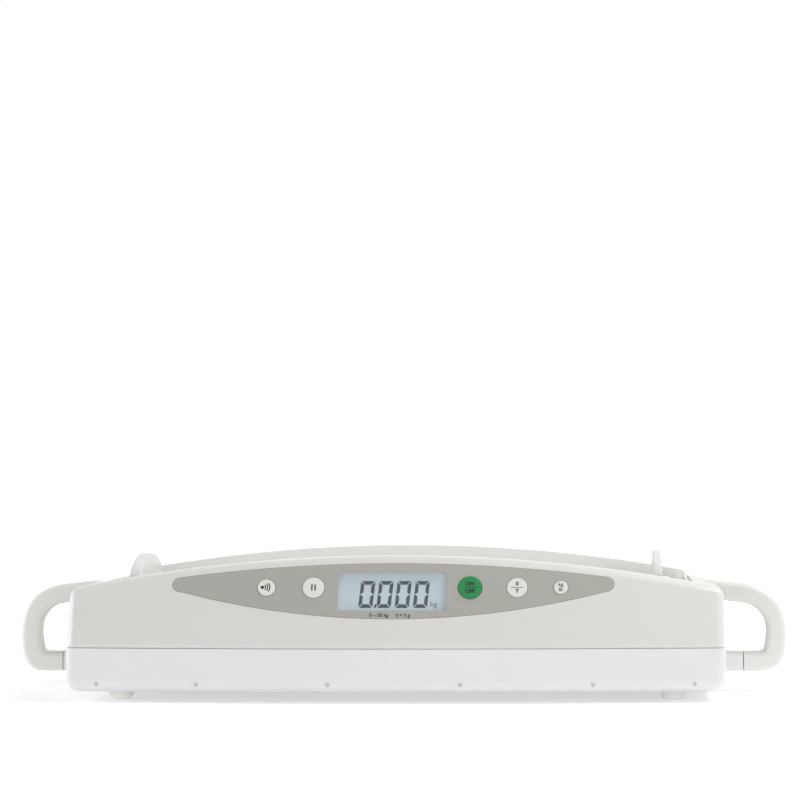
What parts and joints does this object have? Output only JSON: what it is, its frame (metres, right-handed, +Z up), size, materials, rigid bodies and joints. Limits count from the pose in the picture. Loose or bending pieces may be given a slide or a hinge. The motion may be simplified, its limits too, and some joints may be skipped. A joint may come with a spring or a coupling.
{
  "type": "digital baby weighing scale",
  "caption": "Digital baby scale: cradle tray on a load cell, two-part casing with D handles, leaning face with display and keys, fixed and sliding end plates.",
  "frame": {"origin": "on the ground, under the middle of the outline", "axes": "+X to the right along the length, +Y from the control face to the back, +Z up"},
  "size_m": [0.6572, 0.332, 0.1205],
  "materials": {
    "shell": "satin moulded ABS",
    "tray": "satin moulded ABS",
    "panel": "printed matt overlay",
    "lens": "clear acrylic",
    "lcd": "reflective liquid crystal",
    "board": "solder mask",
    "dark": "moulded",
    "steel": "zinc plated",
    "aluminium": "machined",
    "rubber": "soft grip",
    "buffer": "soft",
    "battery": "plain sleeve",
    "key_white": "satin",
    "key_green": "satin"
  },
  "bodies": {
    "root": {"lower_shell": "shell", "upper_shell": "shell", "handle_left": "shell", "handle_right": "shell", "control_panel": "panel", "lcd_lens": "lens", "lcd_glass": "lcd", "lcd_holder": "dark", "display_board": "board", "board_screw_1": "steel", "board_screw_2": "steel", "switch_sound": "dark", "switch_hold": "dark", "switch_power": "dark", "switch_tare": "dark", "switch_unit": "dark", "load_cell": "aluminium", "cell_base": "steel", "base_bolt_1": "steel", "base_bolt_2": "steel", "battery_box": "dark", "battery_1": "battery", "battery_2": "battery", "battery_3": "battery", "battery_4": "battery", "main_board": "board", "buzzer": "dark", "shell_screw_1": "steel", "shell_screw_2": "steel", "shell_screw_3": "steel", "shell_screw_4": "steel", "foot_1": "rubber", "foot_2": "rubber", "foot_3": "rubber", "foot_4": "rubber", "foot_screw_1": "steel", "foot_screw_2": "steel", "foot_screw_3": "steel", "foot_screw_4": "steel"},
    "weighing_tray": {"tray": "tray", "tray_carrier": "steel", "carrier_bolt_1": "steel", "carrier_bolt_2": "steel", "tray_buffer_1": "buffer", "tray_buffer_2": "buffer", "tray_buffer_3": "buffer", "tray_buffer_4": "buffer", "measuring_rail": "tray", "head_stop": "tray"},
    "sliding_stop": {"foot_stop": "tray"},
    "door": {"battery_door": "shell"},
    "sound_key": {"key_sound": "key_white"},
    "hold_key": {"key_hold": "key_white"},
    "power_key": {"key_power": "key_green"},
    "tare_key": {"key_tare": "key_white"},
    "unit_key": {"key_unit": "key_white"}
  },
  "joints": [
    {"name": "tray_press", "type": "slide", "parent": "root", "child": "weighing_tray", "axis": [0, 0, -1], "range_m": [0, 0.0004], "stiffness_N_per_m": 400000},
    {"name": "stop_slide", "type": "slide", "parent": "weighing_tray", "child": "sliding_stop", "axis": [1, 0, 0], "range_m": [-0.34, 0]},
    {"name": "door_slide", "type": "slide", "parent": "root", "child": "door", "axis": [0, 1, 0], "range_m": [0, 0.022]},
    {"name": "sound_press", "type": "slide", "parent": "root", "child": "sound_key", "axis": [0, 0.9063, -0.4226], "range_m": [0, 0.0006], "stiffness_N_per_m": 500},
    {"name": "hold_press", "type": "slide", "parent": "root", "child": "hold_key", "axis": [0, 0.9063, -0.4226], "range_m": [0, 0.0006], "stiffness_N_per_m": 500},
    {"name": "power_press", "type": "slide", "parent": "root", "child": "power_key", "axis": [0, 0.9063, -0.4226], "range_m": [0, 0.0006], "stiffness_N_per_m": 500},
    {"name": "tare_press", "type": "slide", "parent": "root", "child": "tare_key", "axis": [0, 0.9063, -0.4226], "range_m": [0, 0.0006], "stiffness_N_per_m": 500},
    {"name": "unit_press", "type": "slide", "parent": "root", "child": "unit_key", "axis": [0, 0.9063, -0.4226], "range_m": [0, 0.0006], "stiffness_N_per_m": 500}
  ]
}
